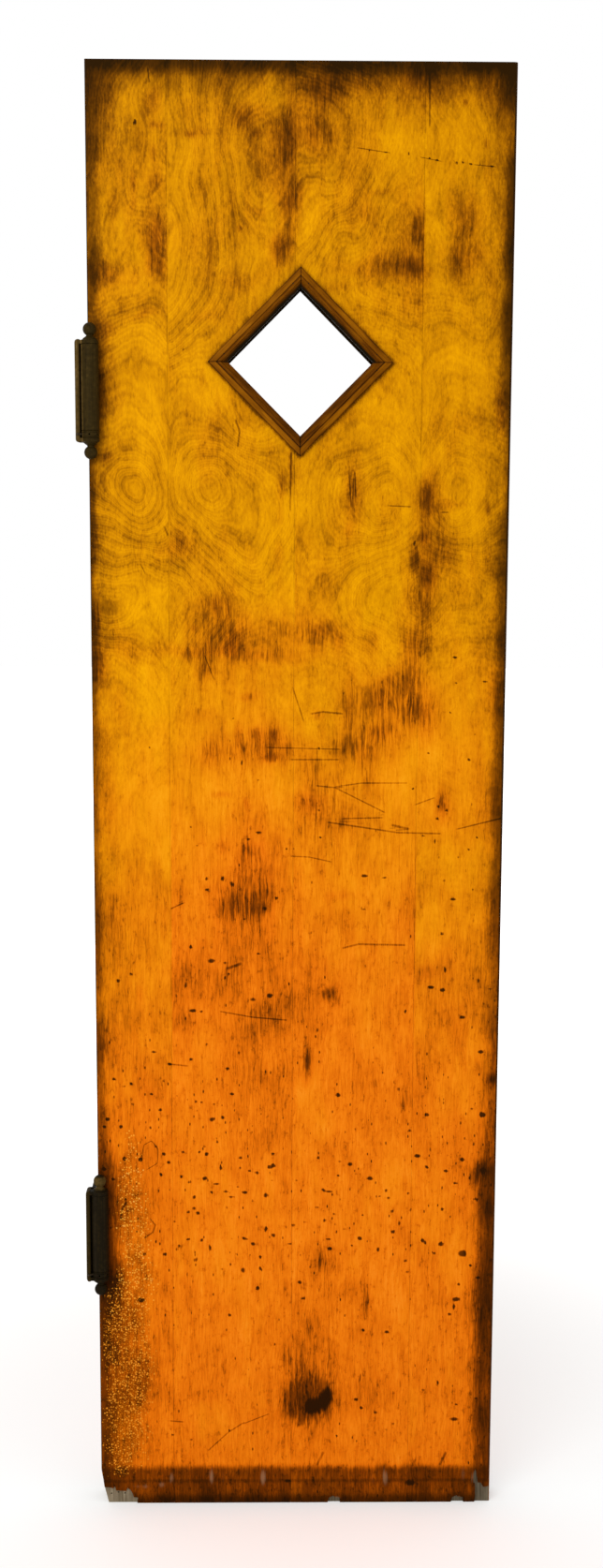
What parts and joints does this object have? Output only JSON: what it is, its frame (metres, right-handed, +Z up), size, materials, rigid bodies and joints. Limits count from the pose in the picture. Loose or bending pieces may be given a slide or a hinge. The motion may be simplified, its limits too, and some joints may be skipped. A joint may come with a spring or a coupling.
{
  "type": "flush wooden door leaf with diamond window",
  "caption": "Tall flush veneered door leaf with an open diamond window in mitred moulding, hung on spring hinges with ball tips along one edge.",
  "frame": {"origin": "middle of the leaf's bottom edge", "axes": "+Z up, +X from the hinge edge to the lock edge, -Y out of the front face"},
  "size_m": [0.6167, 0.0802, 2.134],
  "materials": {
    "veneer": "figured face veneer under old amber varnish, stained and dented",
    "raw_wood": "bare wood, greyed",
    "moulding": "dark stained moulding under worn varnish",
    "bronze": "darkened brass with dirt in the lines",
    "steel": "dull steel"
  },
  "bodies": {
    "jamb_side": {"upper_jamb_leaf": "bronze", "upper_spindle": "steel", "upper_top_ball": "bronze", "upper_bottom_ball": "bronze", "upper_collar": "bronze", "upper_tension_pin": "steel", "upper_spring": "steel", "lower_jamb_leaf": "bronze", "lower_spindle": "steel", "lower_top_ball": "bronze", "lower_bottom_ball": "bronze", "lower_collar": "bronze", "lower_tension_pin": "steel", "lower_spring": "steel"},
    "door": {"hinge_stile": "raw_wood", "lock_stile": "raw_wood", "top_rail": "raw_wood", "bottom_rail": "raw_wood", "core": "raw_wood", "front_veneer_1": "veneer", "front_veneer_2": "veneer", "front_veneer_3": "veneer", "front_veneer_4": "veneer", "back_veneer_1": "veneer", "back_veneer_2": "veneer", "back_veneer_3": "veneer", "back_veneer_4": "veneer", "lining_upper_right": "moulding", "lining_upper_left": "moulding", "lining_lower_left": "moulding", "lining_lower_right": "moulding", "front_moulding_upper_right": "moulding", "front_moulding_upper_left": "moulding", "front_moulding_lower_left": "moulding", "front_moulding_lower_right": "moulding", "front_brads": "steel", "back_moulding_upper_right": "moulding", "back_moulding_upper_left": "moulding", "back_moulding_lower_left": "moulding", "back_moulding_lower_right": "moulding", "back_brads": "steel", "upper_door_leaf": "bronze", "upper_spring_anchor": "steel", "upper_leaf_screws": "steel", "lower_door_leaf": "bronze", "lower_spring_anchor": "steel", "lower_leaf_screws": "steel"}
  },
  "joints": [
    {"name": "door_swing", "type": "hinge", "parent": "jamb_side", "child": "door", "pos_m": [-0.2958, -0.0358, 1.067], "axis": [0, 0, -1], "range_deg": [0, 180], "stiffness_Nm_per_rad": 1.6, "springref_deg": -91.67}
  ]
}
